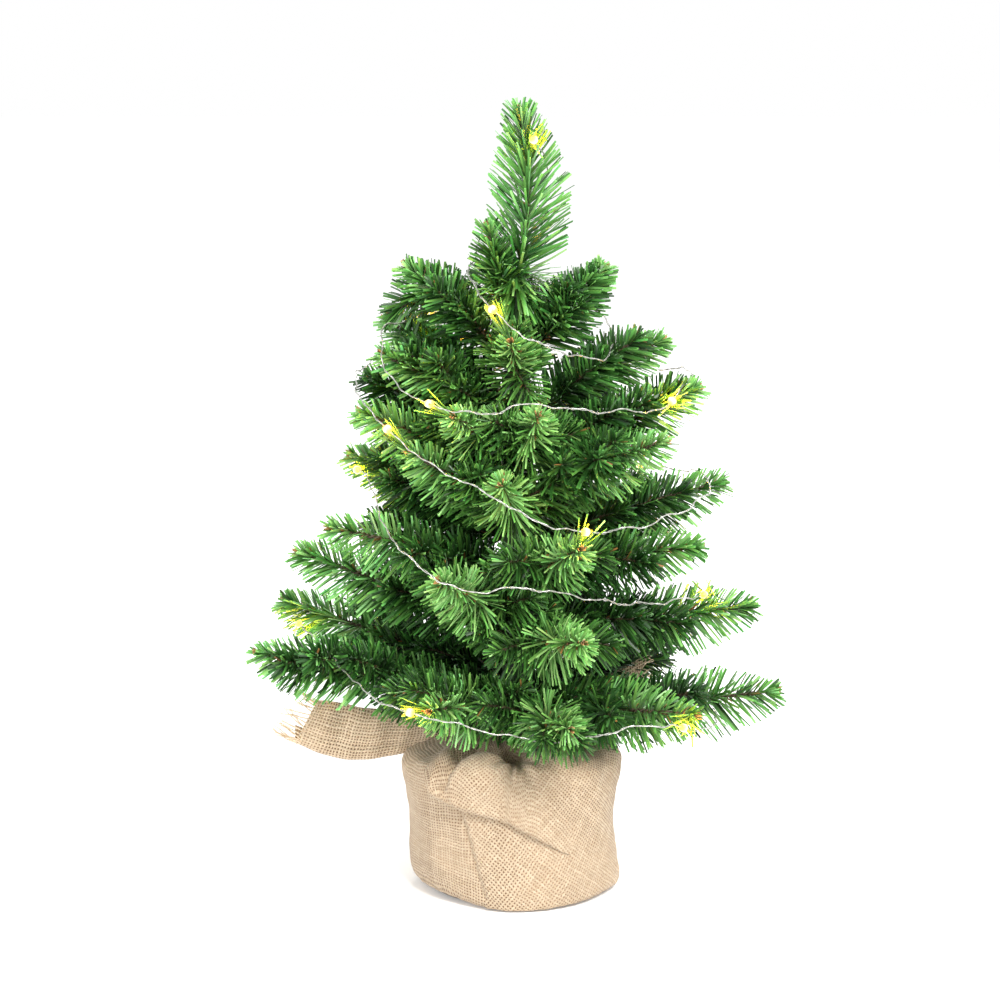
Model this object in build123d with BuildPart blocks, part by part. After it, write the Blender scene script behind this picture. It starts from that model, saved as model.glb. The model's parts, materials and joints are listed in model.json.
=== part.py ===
"""Small artificial tree: wire branches on a steel pole, standing in a burlap-wrapped base, with a
battery light string wound round it. Millimetres, +Z up, origin at the centre of the underside,
front of the tree towards -Y."""

import os
from math import cos, pi, radians, sin, sqrt, tan

from build123d import *

os.makedirs("parts", exist_ok=True)

# ---- driving dimensions -------------------------------------------------------------------
tree_height = 450.0

pole_radius = 5.0
pole_wall = 0.8
pole_foot_z = 12.0
pole_top_z = 345.0

binding_radius = 8.0
binding_spans = [(92, 128), (141, 161), (176, 206), (209, 239), (241, 256), (264, 297), (302, 316), (328, 341)]

root_ball_radius = 1.6
root_ball_offset = 10.0  # from the pole's axis to the centre of a branch's root
stem_radius = 1.2
needle_core_radius = 5.0  # the dense middle of a sprig; the loose needle ends stand out past it
bare_stem_length = 12.0
tip_radius = 2.6
leader_core_radius = 6.0

burlap_thickness = 1.4
wrap_foot_radius = 56.0
wrap_foot_rounding = 5.0
wrap_belly_radius = 60.0
wrap_belly_z = 46.0
wrap_shoulder_radius = 56.0
wrap_shoulder_z = 78.0
neck_radius = 16.0
neck_z = (90.0, 96.0)
tie_radius = 0.8
tail_thickness = 2.4
left_tail_azimuth = 176.0
right_tail_azimuth = 28.0

pot_foot_radius = 49.0
pot_rim_radius = 52.0
pot_height = 70.0
pot_wall = 2.0
pot_foot_z = burlap_thickness + 0.1
weight_height = 52.0
weight_gap = 0.1

cell_radius = 7.1
cell_body_length = 48.5
cell_button_length = 1.0
cell_button_radius = 2.7
cell_pitch = 14.6
case_length = 72.0
case_height = 50.0
case_front_y = 64.0  # the side that faces the base
case_back_y = 84.0
case_wall = 1.6
case_rail_wall = 2.4
divider_x = -20.0
divider_thickness = 1.2
groove_depth = 1.2
groove_y = (80.0, 82.4)
slide_gap = 0.3
cover_rib_height = 0.8
plate_thickness = 0.4
spring_length = 3.4
spring_wire_radius = 0.35
spring_radius = 2.8
switch_travel = 3.0
switch_stem = (3.2, 3.4)
switch_x = -29.1
grommet_z = 26.0
grommet_length = 4.0

wire_diameter = 1.2
led_radius = 2.1
led_length = 5.5
# half section of a drop: along the wire, and out from it
led_profile = [
    (-led_length / 2, wire_diameter / 2),
    (-2.4, 1.2),
    (-1.5, 1.9),
    (0, led_radius),
    (1.5, 1.9),
    (2.4, 1.2),
    (led_length / 2, wire_diameter / 2),
]

# ---- branches: azimuth from +X towards +Y, reach from the pole's axis, height of root and of tip ----
branches = [
    # lowest ring
    (-5, 154, 99, 117),
    (-34, 125, 103, 117),
    (-74, 110, 105, 118),
    (-118, 106, 105, 126),
    (196, 155, 108, 147),
    (171, 141, 122, 163),
    (140, 138, 102, 126),
    (95, 134, 104, 128),
    (45, 138, 101, 126),
    # second ring
    (4, 142, 152, 161),
    (-69, 106, 147, 164),
    (-116, 100, 155, 198),
    (184, 129, 150, 198),
    (120, 112, 155, 182),
    (70, 115, 148, 172),
    # third ring
    (-10, 110, 182, 202),
    (-66, 90, 184, 213),
    (12, 127, 198, 232),
    (42, 102, 190, 220),
    (95, 95, 198, 228),
    (144, 97, 200, 232),
    # fourth ring
    (-96, 80, 215, 249),
    (174, 100, 211, 251),
    (-142, 80, 226, 262),
    (-32, 101, 228, 268),
    (196, 95, 236, 281),
    # fifth ring
    (-5, 107, 246, 292),
    (-122, 70, 249, 283),
    (-80, 71, 252, 285),
    (62, 82, 244, 278),
    (115, 80, 250, 283),
    (163, 86, 252, 290),
    # sixth ring
    (6, 88, 271, 317),
    (196, 83, 272, 313),
    (168, 80, 284, 328),
    (-94, 46, 292, 323),
    (88, 56, 292, 327),
    # top rings
    (-5, 53, 310, 361),
    (182, 66, 308, 361),
    (205, 18, 334, 385),
    # between the third and fourth rings, on the left
    (197, 114, 184, 216),
]

# ---- light string: from the battery case up behind the base and clockwise round the tree ----------
string_route = [
    # lead, behind the base
    (-40, 73, 26),
    (-48, 73, 26),
    (-60, 77, 34),
    (-64, 86, 58),
    (-40, 93, 80),
    (0, 92, 86),
    (40, 88, 89),
    (92, 60, 95),
    (113, 20, 99),
    (114, -25, 103),
    # across the front, above the base
    (103, -58, 104),
    (79, -92, 119),
    (46, -102, 113),
    (24, -98, 105),
    (-2, -103, 110),
    (-40, -103, 122),
    (-80, -92, 129),
    # left side and back, on the lowest ring
    (-106, -58, 143),
    (-122, -18, 154),
    (-134, 34, 151),
    (-112, 72, 146),
    (-90, 96, 138),
    (-50, 118, 140),
    (-10, 126, 142),
    (40, 118, 140),
    (84, 94, 138),
    (112, 56, 148),
    (116, 26, 166),
    (98, -18, 171),
    # across the front, on the second ring
    (70, -52, 174),
    (36, -86, 186),
    (4, -98, 195),
    (-32, -104, 191),
    (-60, -96, 209),
    (-76, -76, 223),
    (-82, -28, 246),
    # left side and back, on the third ring
    (-96, 12, 239),
    (-84, 46, 243),
    (-56, 82, 240),
    (-14, 102, 239),
    (26, 98, 235),
    (60, 84, 231),
    (96, 64, 231),
    (116, 30, 238),
    (120, -8, 234),
    (98, -46, 225),
    (60, -74, 219),
    # across the front, on the fourth ring
    (18, -98, 225),
    (-18, -92, 245),
    (-52, -70, 258),
    (-88, -34, 287),
    # left side and back, on the fifth ring
    (-99, -4, 298),
    (-92, 22, 302),
    (-78, 48, 300),
    (-42, 76, 295),
    (-4, 90, 292),
    (30, 86, 289),
    (66, 66, 289),
    (98, 34, 297),
    (108, 6, 304),
    (96, -16, 297),
    (80, -26, 277),
    # across the front, on the fifth ring
    (68, -52, 283),
    (38, -76, 285),
    (8, -88, 293),
    (-24, -79, 282),
    (-70, -46, 294),
    # left side and back, on the sixth ring
    (-85, -22, 324),
    (-60, -2, 327),
    (-32, 28, 328),
    (0, 50, 340),
    (50, 38, 331),
    (66, 8, 322),
    (58, -28, 305),
    # across the front, under the leader
    (30, -50, 313),
    (2, -59, 323),
    (-28, -24, 350),
    # up the leader
    (-32, 2, 364),
    (-18, 24, 382),
    (22, 20, 402),
    (22, 2, 416),
    (0, -22, 436),
]
# number of the route's point before each LED; the drop sits at the middle of that run
led_runs = [6, 10, 15, 18, 22, 24, 27, 35, 38, 41, 46, 49, 53, 56, 60, 65, 68, 70, 75, 80]

# ---- helpers ---------------------------------------------------------------------------------
def away(azimuth):
    """Unit vector that points level out of the pole at an azimuth in degrees."""
    return Vector(cos(radians(azimuth)), sin(radians(azimuth)), 0)


def sprig(root, tip, core_radius):
    """A sprig as one closed solid: root ball, bare stem, spindle of packed needles, blunt tip."""
    along = (tip - root).normalized()
    side = along.cross(Vector(0, 0, 1))
    side = side.normalized() if side.length > 0.05 else Vector(0, 1, 0)
    length = (tip - root).length
    core = min(core_radius, 0.14 * length)
    bare = min(bare_stem_length, 0.2 * length)
    swell = bare + 0.2 * length
    taper = length - 0.22 * length
    neck = sqrt(root_ball_radius**2 - stem_radius**2)
    diagonal = tip_radius / sqrt(2)
    with BuildPart() as solid:
        with BuildSketch(Plane(origin=root, x_dir=along, z_dir=side)):
            with BuildLine():
                ThreePointArc((-root_ball_radius, 0), (0, root_ball_radius), (neck, stem_radius))
                Polyline(
                    (neck, stem_radius),
                    (bare, stem_radius),
                    (swell, core),
                    (taper, core),
                    (length - tip_radius, tip_radius),
                )
                ThreePointArc(
                    (length - tip_radius, tip_radius),
                    (length - tip_radius + diagonal, diagonal),
                    (length, 0),
                )
                Line((length, 0), (-root_ball_radius, 0))
            make_face()
        revolve(axis=Axis(root, along))
    return solid


def write(part, name):
    part.label = name
    export_step(part, f"parts/{name}.step")


# ---- pole and the tape wound over the branch roots -----------------------------------------------
with BuildPart() as trunk_pole:
    with BuildSketch(Plane.XY.offset(pole_foot_z)):
        Circle(pole_radius)
        Circle(pole_radius - pole_wall, mode=Mode.SUBTRACT)
    extrude(amount=pole_top_z - pole_foot_z)
write(trunk_pole.part, "trunk_pole")

with BuildPart() as stem_bindings:
    for low, high in binding_spans:
        with BuildSketch(Plane.XY.offset(low)):
            Circle(binding_radius)
            Circle(pole_radius, mode=Mode.SUBTRACT)
        extrude(amount=high - low)
    chamfer(stem_bindings.edges().filter_by(GeomType.CIRCLE).group_by(SortBy.RADIUS)[-1], 0.8)
write(stem_bindings.part, "stem_bindings")

# ---- branches and leader ---------------------------------------------------------------------------
for number, (azimuth, reach, root_z, tip_z) in enumerate(branches, start=1):
    root = away(azimuth) * root_ball_offset + Vector(0, 0, root_z)
    tip = away(azimuth) * reach + Vector(0, 0, tip_z)
    write(sprig(root, tip, needle_core_radius).part, f"branch_{number:02d}")

leader_root = Vector(0, 0, pole_top_z + 0.4 + root_ball_radius)
leader_tip = Vector(2, 0, tree_height)
write(sprig(leader_root, leader_tip, leader_core_radius).part, "leader")

# ---- cup, cast weight and burlap -------------------------------------------------------------------
def pot_radius(z, inset=0.0):
    """Radius of the tapered cup's wall at a height above the cup's foot."""
    return pot_foot_radius + (pot_rim_radius - pot_foot_radius) * z / pot_height - inset


with BuildPart() as base_pot:
    with BuildSketch(Plane.XZ):
        with BuildLine():
            Polyline(
                (0, pot_foot_z),
                (pot_radius(0), pot_foot_z),
                (pot_radius(pot_height), pot_foot_z + pot_height),
                (pot_radius(pot_height, pot_wall), pot_foot_z + pot_height),
                (pot_radius(pot_wall, pot_wall), pot_foot_z + pot_wall),
                (0, pot_foot_z + pot_wall),
                close=True,
            )
        make_face()
    revolve(axis=Axis.Z)
write(base_pot.part, "base_pot")

weight_foot = pot_wall + weight_gap
weight_top = weight_foot + weight_height
with BuildPart() as base_weight:
    with BuildSketch(Plane.XZ):
        with BuildLine():
            Polyline(
                (0, pot_foot_z + weight_foot),
                (pot_radius(weight_foot, pot_wall + weight_gap), pot_foot_z + weight_foot),
                (pot_radius(weight_top, pot_wall + weight_gap), pot_foot_z + weight_top),
                (pole_radius, pot_foot_z + weight_top),
                (pole_radius, pole_foot_z),
                (0, pole_foot_z),
                close=True,
            )
        make_face()
    revolve(axis=Axis.Z)
write(base_weight.part, "base_weight")


def wrap_side(inset):
    """The burlap's profile from the underside to the neck, drawn inside the outer face by inset."""
    foot = wrap_foot_radius - inset
    rounding = wrap_foot_rounding - inset
    corner = rounding * (1 - sqrt(0.5))
    shoulder = wrap_shoulder_radius - inset
    neck = neck_radius - inset
    Line((0, inset), (foot - rounding, inset))
    ThreePointArc((foot - rounding, inset), (foot - corner, inset + corner), (foot, inset + rounding))
    ThreePointArc(
        (foot, inset + rounding),
        (wrap_belly_radius - inset, wrap_belly_z),
        (shoulder, wrap_shoulder_z),
    )
    ThreePointArc(
        (shoulder, wrap_shoulder_z),
        (0.75 * wrap_shoulder_radius - inset, 0.2 * wrap_shoulder_z + 0.8 * neck_z[0] - inset),
        (neck, neck_z[0] - inset),
    )
    Line((neck, neck_z[0] - inset), (neck, neck_z[1]))


with BuildPart() as burlap_wrap:
    with BuildSketch(Plane.XZ):
        with BuildLine():
            wrap_side(0)
            wrap_side(burlap_thickness)
            Line((0, 0), (0, burlap_thickness))
            Line((neck_radius, neck_z[1]), (neck_radius - burlap_thickness, neck_z[1]))
        make_face()
    revolve(axis=Axis.Z)
write(burlap_wrap.part, "burlap_wrap")

with BuildPart() as burlap_tie:
    with BuildSketch(Plane.XZ):
        with Locations((neck_radius + tie_radius, sum(neck_z) / 2)):
            Circle(tie_radius)
    revolve(axis=Axis.Z)
write(burlap_tie.part, "burlap_tie")


def tail(azimuth, outline):
    """One free corner of the burlap, standing on edge in an upright plane through the pole's axis."""
    upright = Plane(origin=(0, 0, 0), x_dir=away(azimuth), z_dir=away(azimuth - 90))
    with BuildPart() as corner:
        with BuildSketch(upright):
            with BuildLine():
                Polyline(*outline, close=True)
            make_face()
        extrude(amount=tail_thickness / 2, both=True)
    return corner


left_tail = tail(
    left_tail_azimuth,
    [
        (18, 92),
        (44, 92),
        (60, 86),
        (84, 72),
        (107, 74),
        (128, 82),
        (143, 89),
        (124, 107),
        (104, 104),
        (64, 96),
        (18, 96),
    ],
)
write(left_tail.part, "burlap_tail_left")
right_tail = tail(
    right_tail_azimuth,
    [(18, 92), (44, 92), (60, 89), (78, 97), (86, 116), (70, 124), (50, 117), (32, 102), (18, 96)],
)
write(right_tail.part, "burlap_tail_right")

# ---- battery case, standing behind the base -----------------------------------------------------------
case_low_x = -case_length / 2
case_high_x = case_length / 2
inner_low_x = case_low_x + case_wall
inner_high_x = case_high_x - case_wall
inner_y = case_front_y + case_wall
middle_z = case_height / 2
cell_y = inner_y + cell_radius + 0.1
divider_right = divider_x + divider_thickness / 2
divider_left = divider_x - divider_thickness / 2
slot_length = switch_stem[0] + switch_travel + 2 * slide_gap
slot_x = switch_x + switch_travel / 2
shelf_z = 40.5


def block(low, high, mode=Mode.ADD):
    """A box from its low corner to its high corner, in the part being built."""
    size = [b - a for a, b in zip(low, high)]
    middle = [(a + b) / 2 for a, b in zip(low, high)]
    with Locations(tuple(middle)):
        return Box(*size, mode=mode)


with BuildPart() as battery_case:
    block((case_low_x, case_front_y, 0), (case_high_x, case_back_y, case_height))
    fillet(battery_case.edges().filter_by(Axis.Y), 2.0)
    block(
        (inner_low_x, inner_y, case_rail_wall),
        (inner_high_x, case_back_y, case_height - case_rail_wall),
        Mode.SUBTRACT,
    )
    block(
        (inner_low_x, groove_y[0], case_rail_wall - groove_depth),
        (case_high_x, groove_y[1], case_height - case_rail_wall + groove_depth),
        Mode.SUBTRACT,
    )
    block(
        (inner_high_x, groove_y[1], case_rail_wall),
        (case_high_x, case_back_y, case_height - case_rail_wall),
        Mode.SUBTRACT,
    )
    block(
        (divider_left, inner_y, case_rail_wall),
        (divider_right, groove_y[0] - 0.5, case_height - case_rail_wall),
    )
    for shelf_x in (inner_low_x, divider_left - 1.5):
        block((shelf_x, inner_y, shelf_z), (shelf_x + 1.5, groove_y[0] - 1.5, shelf_z + 1.5))
    with Locations((slot_x, cell_y, case_height)):
        Box(slot_length, switch_stem[1] + 2 * slide_gap, 2 * case_rail_wall + 1, mode=Mode.SUBTRACT)
    with Locations(Location((case_low_x, cell_y, grommet_z), (0, 90, 0))):
        Cylinder(2.2, 4 * case_wall, mode=Mode.SUBTRACT)
write(battery_case.part, "battery_case")

with BuildPart() as battery_cover:
    block(
        (inner_low_x + slide_gap, groove_y[0] + slide_gap, case_rail_wall - groove_depth + slide_gap),
        (
            case_high_x,
            groove_y[1] - slide_gap,
            case_height - case_rail_wall + groove_depth - slide_gap,
        ),
    )
    rib_face = groove_y[1] - slide_gap
    with Locations((case_high_x - 9, rib_face, middle_z)):
        with GridLocations(2.4, 0, 5, 1):
            Box(1.0, 2 * cover_rib_height, 18.0)
write(battery_cover.part, "battery_cover")

cell_heights = [middle_z - cell_pitch, middle_z, middle_z + cell_pitch]
with BuildPart() as battery_cells:
    for cell_z, turned in zip(cell_heights, (False, True, False)):
        flat_x = divider_right + plate_thickness + spring_length
        if turned:
            flat_x = inner_high_x - plate_thickness - spring_length
        outward = -1 if turned else 1
        with BuildSketch(Plane(origin=(flat_x, cell_y, cell_z), z_dir=(outward, 0, 0))):
            Circle(cell_radius)
        extrude(amount=cell_body_length)
        button_x = flat_x + outward * cell_body_length
        with BuildSketch(Plane(origin=(button_x, cell_y, cell_z), z_dir=(outward, 0, 0))):
            Circle(cell_button_radius)
        extrude(amount=cell_button_length)
write(battery_cells.part, "battery_cells")

with BuildPart() as contact_plates:
    for side_x, groups in (
        (divider_right, [(0, 1), (2, 2)]),
        (inner_high_x - plate_thickness, [(0, 0), (1, 2)]),
    ):
        for first, last in groups:
            block(
                (side_x, cell_y - 4.5, cell_heights[first] - 4.5),
                (side_x + plate_thickness, cell_y + 4.5, cell_heights[last] + 4.5),
            )
write(contact_plates.part, "contact_plates")

with BuildPart() as contact_springs:
    for cell_z, turned in zip(cell_heights, (False, True, False)):
        start_x = divider_right + plate_thickness
        if turned:
            start_x = inner_high_x - plate_thickness - spring_length
        for turn in range(3):
            ring_x = start_x + spring_wire_radius + turn * (spring_length / 2 - spring_wire_radius)
            with Locations(Location((ring_x, cell_y, cell_z), (0, 90, 0))):
                Torus(spring_radius, spring_wire_radius)
write(contact_springs.part, "contact_springs")

with BuildPart() as switch_slider:
    top_inside = case_height - case_rail_wall
    block(
        (switch_x - 3.1, cell_y - 3.6, top_inside - 1.6),
        (switch_x + 3.1, cell_y + 3.6, top_inside - slide_gap),
    )
    block(
        (switch_x - switch_stem[0] / 2, cell_y - switch_stem[1] / 2, top_inside - 1.6),
        (switch_x + switch_stem[0] / 2, cell_y + switch_stem[1] / 2, case_height + 1.0),
    )
    block(
        (switch_x - 2.6, cell_y - 3.0, case_height + slide_gap),
        (switch_x + 2.6, cell_y + 3.0, case_height + 1.4),
    )
    with Locations((switch_x, cell_y, case_height + 1.4)):
        with GridLocations(1.6, 0, 3, 1):
            Box(0.7, 6.0, 0.8)
write(switch_slider.part, "switch_slider")

with BuildPart() as circuit_board:
    board_low = shelf_z + 1.5
    block((inner_low_x + 0.2, inner_y + 1, board_low), (divider_left - 0.2, inner_y + 12, board_low + 1.2))
    block((switch_x - 2, cell_y - 2.5, board_low + 1.2), (switch_x + 3, cell_y + 2.5, board_low + 2.6))
    with Locations((divider_left - 4.5, cell_y + 2.0, board_low - 3.0)):
        Cylinder(1.6, 6.0)
write(circuit_board.part, "circuit_board")

with BuildPart() as lead_grommet:
    with BuildSketch(Plane(origin=(inner_low_x - 0.01, cell_y, grommet_z), z_dir=(-1, 0, 0))):
        Circle(2.2)
    extrude(amount=case_wall)
    with BuildSketch(Plane(origin=(case_low_x, cell_y, grommet_z), z_dir=(-1, 0, 0))):
        Circle(3.2)
    extrude(amount=grommet_length, taper=22)
write(lead_grommet.part, "lead_grommet")

# ---- light string ---------------------------------------------------------------------------------------
route = [Vector(*point) for point in string_route]
runs = [(b - a).length for a, b in zip(route, route[1:])]
bend_radii = []
for before, here, after in zip(route, route[1:], route[2:]):
    turn = radians((here - before).get_angle(after - here))
    shorter = min((here - before).length, (after - here).length)
    bend_radii.append(0.45 * shorter / tan(turn / 2))
print("smallest bend radii", sorted(round(radius, 1) for radius in bend_radii)[:6])

with BuildPart() as light_string_wire:
    with BuildLine() as wire_line:
        FilletPolyline(*route, radius=bend_radii)
    with BuildSketch(Plane(origin=route[0], z_dir=route[1] - route[0])):
        Circle(wire_diameter / 2)
    sweep()
write(light_string_wire.part, "light_string_wire")
section = pi * wire_diameter**2 / 4
wire_length = sum(edge.length for edge in wire_line.edges())
print("wire length", round(wire_length), "volume", round(light_string_wire.part.volume, 1))
print("section x length", round(section * wire_length, 1))

with BuildPart() as light_string_leds:
    for run in led_runs:
        along = (route[run + 1] - route[run]).normalized()
        middle = (route[run + 1] + route[run]) / 2
        side = along.cross(Vector(0, 0, 1)).normalized()
        with BuildSketch(Plane(origin=middle, x_dir=along, z_dir=side)):
            with BuildLine():
                Polyline(*led_profile)
                Line(led_profile[-1], led_profile[0])
            make_face()
        revolve(axis=Axis(middle, along))
write(light_string_leds.part, "light_string_leds")
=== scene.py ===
"""Looks of the artificial tabletop tree: needles, burlap, light string and materials, in metres,
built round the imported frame. +Z up, the front of the tree faces -Y."""
import json
import math

import bpy
import numpy as np
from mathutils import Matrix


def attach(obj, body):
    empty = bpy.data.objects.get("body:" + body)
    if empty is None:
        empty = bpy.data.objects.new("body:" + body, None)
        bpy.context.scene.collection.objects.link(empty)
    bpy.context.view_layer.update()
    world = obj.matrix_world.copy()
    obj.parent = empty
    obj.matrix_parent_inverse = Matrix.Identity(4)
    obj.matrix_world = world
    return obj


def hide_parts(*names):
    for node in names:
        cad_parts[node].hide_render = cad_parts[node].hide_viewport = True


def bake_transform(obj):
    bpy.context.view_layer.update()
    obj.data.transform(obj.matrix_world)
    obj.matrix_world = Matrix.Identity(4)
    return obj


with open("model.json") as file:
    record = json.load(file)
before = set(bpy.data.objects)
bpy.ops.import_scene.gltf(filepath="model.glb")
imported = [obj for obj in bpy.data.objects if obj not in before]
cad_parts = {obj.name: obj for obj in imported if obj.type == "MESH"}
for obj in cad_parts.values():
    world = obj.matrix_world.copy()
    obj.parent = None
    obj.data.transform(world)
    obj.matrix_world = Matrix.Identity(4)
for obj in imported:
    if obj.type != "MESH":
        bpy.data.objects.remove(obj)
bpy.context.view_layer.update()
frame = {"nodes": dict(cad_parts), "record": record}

record = frame["record"]
nodes = frame["nodes"]
joints = {joint["name"]: joint for joint in record["behaviour"]["joints"]}
rng = np.random.default_rng(18)
scene = bpy.context.scene
UP = np.array([0.0, 0.0, 1.0])
NEARLY_UP = UP + 1e-4  # off the vertical, so that it has a cross product with an upright stem too
GOLDEN_ANGLE = math.pi * (3 - math.sqrt(5))

# ---- camera ----
SENSOR = 36.0
CAMERA_DISTANCE = 1.6
CAMERA_ELEVATION = math.radians(10.5)
FRAME_WIDTH = 0.564  # width of the picture at the tree's axis
AIM = np.array([-0.009, 0.0, 0.215])
AIM_RAISE = 0.0087


def make_camera():
    data = bpy.data.cameras.new("camera")
    data.sensor_width = SENSOR
    data.lens = SENSOR * CAMERA_DISTANCE / FRAME_WIDTH
    data.clip_end = 20.0
    camera = bpy.data.objects.new("camera", data)
    scene.collection.objects.link(camera)
    level, rise = math.cos(CAMERA_ELEVATION), math.sin(CAMERA_ELEVATION)
    up = np.array([0.0, rise, level])
    camera.location = AIM + CAMERA_DISTANCE * np.array([0.0, -level, rise]) + AIM_RAISE * up
    camera.rotation_euler = (math.pi / 2 - CAMERA_ELEVATION, 0.0, 0.0)
    scene.camera = camera


make_camera()


# ---- mesh helpers ----
def unit(vectors):
    vectors = np.asarray(vectors, float)
    return vectors / np.maximum(np.linalg.norm(vectors, axis=-1, keepdims=True), 1e-12)


def make_piece(name, verts, faces, material, tint=None, uv=None, smooth=True):
    """A mesh object. faces is an array of quads or a list of polygons, tint one RGB per vertex,
    uv one pair of metres per face corner."""
    mesh = bpy.data.meshes.new(name)
    if isinstance(faces, np.ndarray):
        count = len(faces)
        mesh.vertices.add(len(verts))
        mesh.vertices.foreach_set("co", np.asarray(verts, np.float32).ravel())
        mesh.loops.add(4 * count)
        mesh.loops.foreach_set("vertex_index", faces.astype(np.int32).ravel())
        mesh.polygons.add(count)
        mesh.polygons.foreach_set("loop_start", np.arange(0, 4 * count, 4, dtype=np.int32))
        mesh.update(calc_edges=True)
    else:
        mesh.from_pydata([tuple(v) for v in verts], [], [tuple(int(i) for i in f) for f in faces])
        mesh.update()
    mesh.polygons.foreach_set("use_smooth", np.full(len(mesh.polygons), smooth, bool))
    if tint is not None:
        rgba = np.ones((len(verts), 4), np.float32)
        rgba[:, :3] = tint
        layer = mesh.attributes.new("tint", "FLOAT_COLOR", "POINT")
        layer.data.foreach_set("color", rgba.ravel())
    if uv is not None:
        layer = mesh.uv_layers.new(name="cloth")
        layer.data.foreach_set("uv", np.asarray(uv, np.float32).ravel())
    mesh.materials.append(material)
    piece = bpy.data.objects.new(name, mesh)
    scene.collection.objects.link(piece)
    return piece


def level_right(headings):
    """Unit vectors square to the headings and nearly level."""
    return unit(np.cross(headings, NEARLY_UP))


def turned_to(first, second, angles):
    """Unit vectors turned by the angles from the first ones towards the second ones."""
    return np.cos(angles)[:, None] * first + np.sin(angles)[:, None] * second


def hill(distance, width):
    return np.exp(-((distance / width) ** 2))


def ease(x, low, high):
    t = np.clip((x - low) / (high - low), 0, 1)
    return t * t * (3 - 2 * t)


def hermite(a, b, slope_a, slope_b, step, t):
    """Smooth value between a and b, with the given slopes at them. t runs from 0 to 1 over the step."""
    return (a * (1 + 2 * t) * (1 - t) ** 2 + b * t * t * (3 - 2 * t)
            + step * (slope_a * t * (1 - t) ** 2 - slope_b * t * t * (1 - t)))


def frames_along(points):
    """Two directions square to a polyline at each of its points, carried along it without twist."""
    points = np.asarray(points, float)
    tangent = unit(np.gradient(points, axis=0))
    start = UP if abs(tangent[0][2]) < 0.9 else np.array([0.0, 1.0, 0.0])
    side = unit(np.cross(tangent[0], start))
    sides = [side]
    for t in tangent[1:]:
        side = unit(side - t * np.dot(side, t))
        sides.append(side)
    return np.array(sides), np.cross(tangent, sides)


def grid_faces(rows, columns, closed=False):
    """Quads between the rows of a grid of vertices. In a closed grid the last column meets the first."""
    faces = []
    for i in range(rows - 1):
        for j in range(columns if closed else columns - 1):
            k = (j + 1) % columns
            faces.append((i * columns + j, i * columns + k, (i + 1) * columns + k, (i + 1) * columns + j))
    return np.array(faces)


def tube(points, radii, count=6):
    """Vertices and faces of a closed round tube through the points."""
    points = np.asarray(points, float)
    radii = np.broadcast_to(np.asarray(radii, float), (len(points),))
    side, lift = frames_along(points)
    angle = np.arange(count) * 2 * math.pi / count
    ring = np.cos(angle)[None, :, None] * side[:, None] + np.sin(angle)[None, :, None] * lift[:, None]
    verts = (points[:, None] + ring * radii[:, None, None]).reshape(-1, 3)
    caps = [range(count)[::-1], range(len(verts) - count, len(verts))]
    return verts, [*grid_faces(len(points), count, closed=True).tolist(), *caps]


def merge(parts):
    """Several (verts, faces) as one."""
    verts, faces, base = [], [], 0
    for v, f in parts:
        verts.append(v)
        faces.extend([tuple(int(i) + base for i in face) for face in f])
        base += len(v)
    return np.concatenate(verts), faces


# ---- materials ----
class Nodes:
    """A material's node tree, built with short calls."""

    def __init__(self, name):
        self.material = bpy.data.materials.new(name)
        self.material.use_nodes = True
        self.tree = self.material.node_tree
        self.shader = self.tree.nodes["Principled BSDF"]

    def add(self, kind, **settings):
        made = self.tree.nodes.new(kind)
        for key, value in settings.items():
            setattr(made, key, value)
        return made

    def feed(self, node, socket, value):
        target = node.inputs[socket]
        if isinstance(value, bpy.types.NodeSocket):
            self.tree.links.new(value, target)
        else:
            target.default_value = value

    def math(self, operation, *values):
        made = self.add("ShaderNodeMath", operation=operation)
        for index, value in enumerate(values):
            self.feed(made, index, value)
        return made.outputs[0]

    def noise(self, scale, detail, vector, dimensions="3D", output="Fac"):
        made = self.add("ShaderNodeTexNoise", noise_dimensions=dimensions)
        self.feed(made, "Scale", scale)
        self.feed(made, "Detail", detail)
        self.feed(made, "Vector", vector)
        return made.outputs[output]

    def vector(self, x, y):
        made = self.add("ShaderNodeCombineXYZ")
        self.feed(made, 0, x)
        self.feed(made, 1, y)
        return made.outputs[0]

    def mix(self, factor, a, b, blend="MIX"):
        made = self.add("ShaderNodeMix", data_type="RGBA", blend_type=blend)
        self.feed(made, 0, factor)
        self.feed(made, 6, a)
        self.feed(made, 7, b)
        return made.outputs[2]

    def ramp(self, factor, *stops):
        made = self.add("ShaderNodeValToRGB")
        self.feed(made, 0, factor)
        elements = made.color_ramp.elements
        while len(elements) < len(stops):
            elements.new(0.5)
        for element, (place, colour) in zip(elements, stops):
            element.position = place
            element.color = colour
        return made.outputs[0]

    def bump(self, height, strength, distance):
        made = self.add("ShaderNodeBump")
        self.feed(made, "Strength", strength)
        self.feed(made, "Distance", distance)
        self.feed(made, "Height", height)
        self.feed(self.shader, "Normal", made.outputs[0])

    def place(self):
        return self.add("ShaderNodeTexCoord").outputs["Object"]

    def look(self, colour, roughness, metallic=0.0, specular=0.5):
        self.feed(self.shader, "Base Color", colour)
        self.feed(self.shader, "Roughness", roughness)
        self.feed(self.shader, "Metallic", metallic)
        self.feed(self.shader, "Specular IOR Level", specular)


def needle_material(name, roughness):
    """PVC strip: its colour is in the mesh, strip by strip."""
    made = Nodes(name)
    tint = made.add("ShaderNodeAttribute", attribute_name="tint")
    made.look(tint.outputs["Color"], roughness, specular=0.42)
    return made.material


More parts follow.
